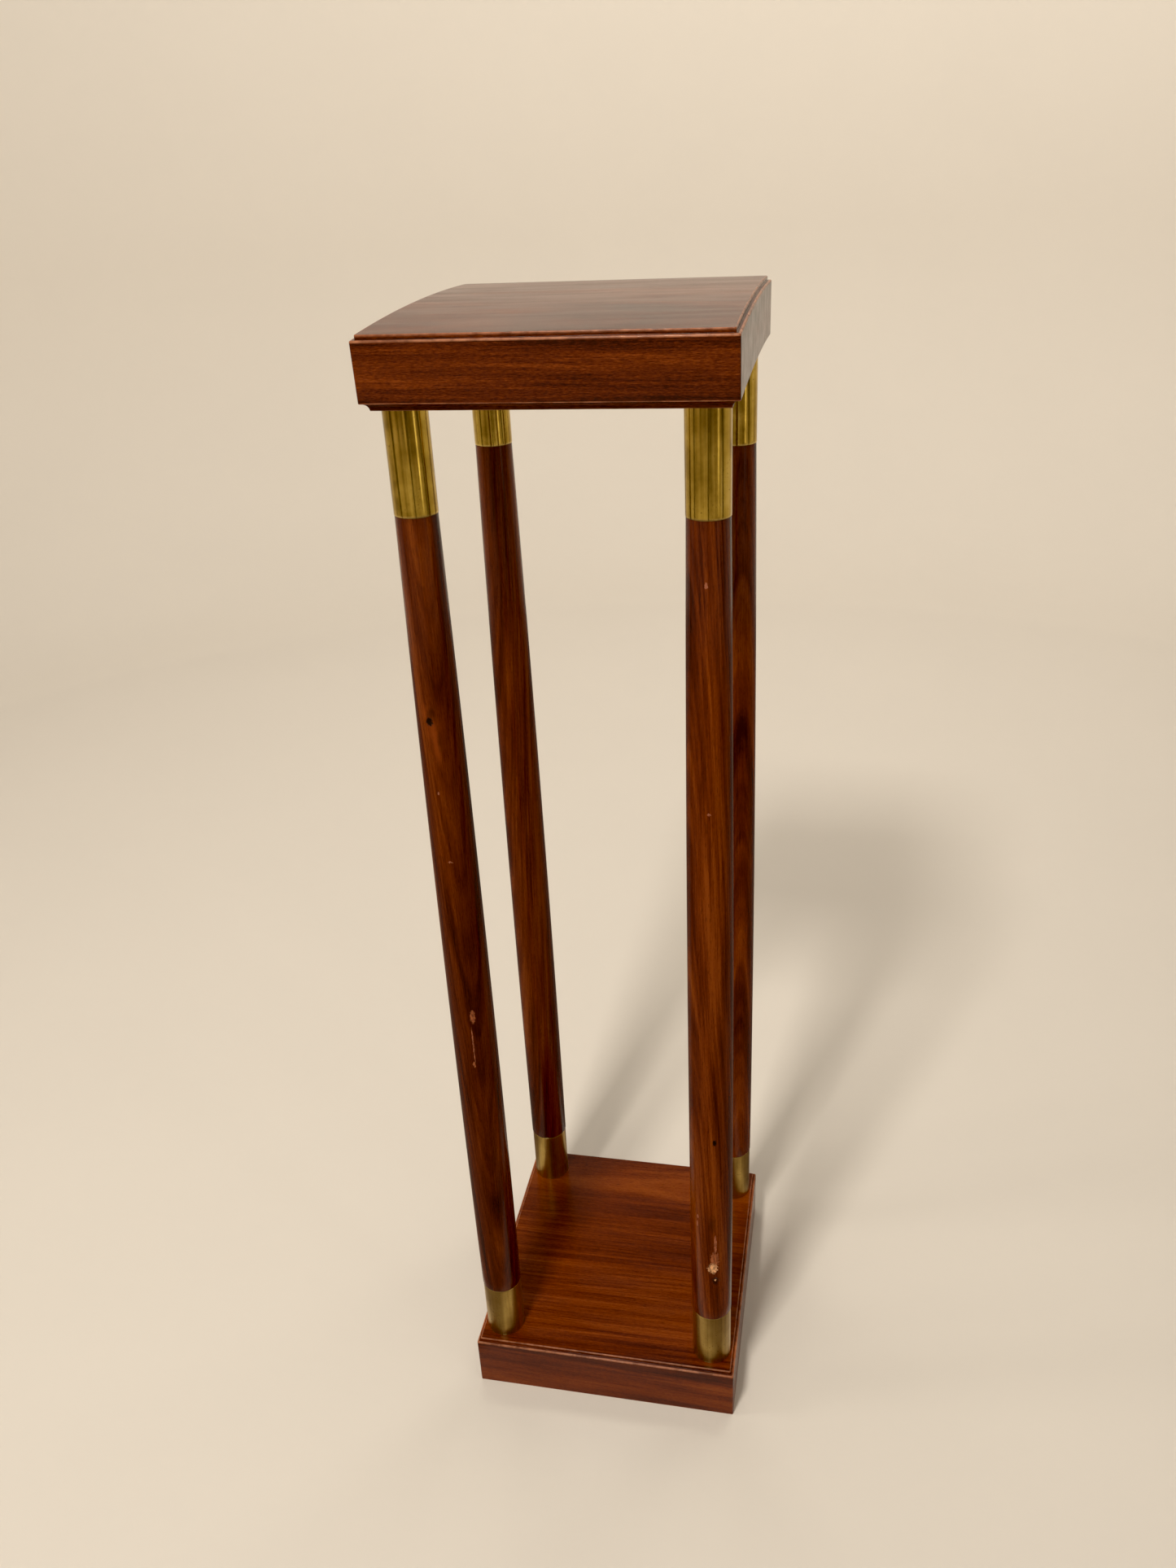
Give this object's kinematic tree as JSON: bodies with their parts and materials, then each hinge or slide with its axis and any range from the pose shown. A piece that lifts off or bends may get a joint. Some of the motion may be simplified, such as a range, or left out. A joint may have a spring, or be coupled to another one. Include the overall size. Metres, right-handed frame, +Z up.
{
  "type": "pedestal stand",
  "caption": "Tall open display pedestal: arched hardwood top board on swelled tapered posts with brass ferrules, standing on a square base board.",
  "frame": {"origin": "centre of the base board's underside, on the floor", "axes": "+X across the width, -Y towards the front, +Z up"},
  "size_m": [0.28, 0.295, 1.116],
  "materials": {
    "board_wood": "satin lacquered dark red-brown mahogany, grain along the width",
    "post_wood": "satin lacquered dark red-brown hardwood, grain along the post",
    "brass": "polished brass tube with a light brown-green tarnish",
    "fixing_steel": "bright zinc-plated screws and washers, hidden under the base"
  },
  "bodies": {
    "root": {"base_board": "board_wood", "top_board": "board_wood", "post_front_left": "post_wood", "post_front_right": "post_wood", "post_back_left": "post_wood", "post_back_right": "post_wood", "upper_ferrule_front_left": "brass", "upper_ferrule_front_right": "brass", "upper_ferrule_back_left": "brass", "upper_ferrule_back_right": "brass", "lower_ferrule_front_left": "brass", "lower_ferrule_front_right": "brass", "lower_ferrule_back_left": "brass", "lower_ferrule_back_right": "brass", "base_screws": "fixing_steel", "base_washers": "fixing_steel"}
  },
  "joints": []
}
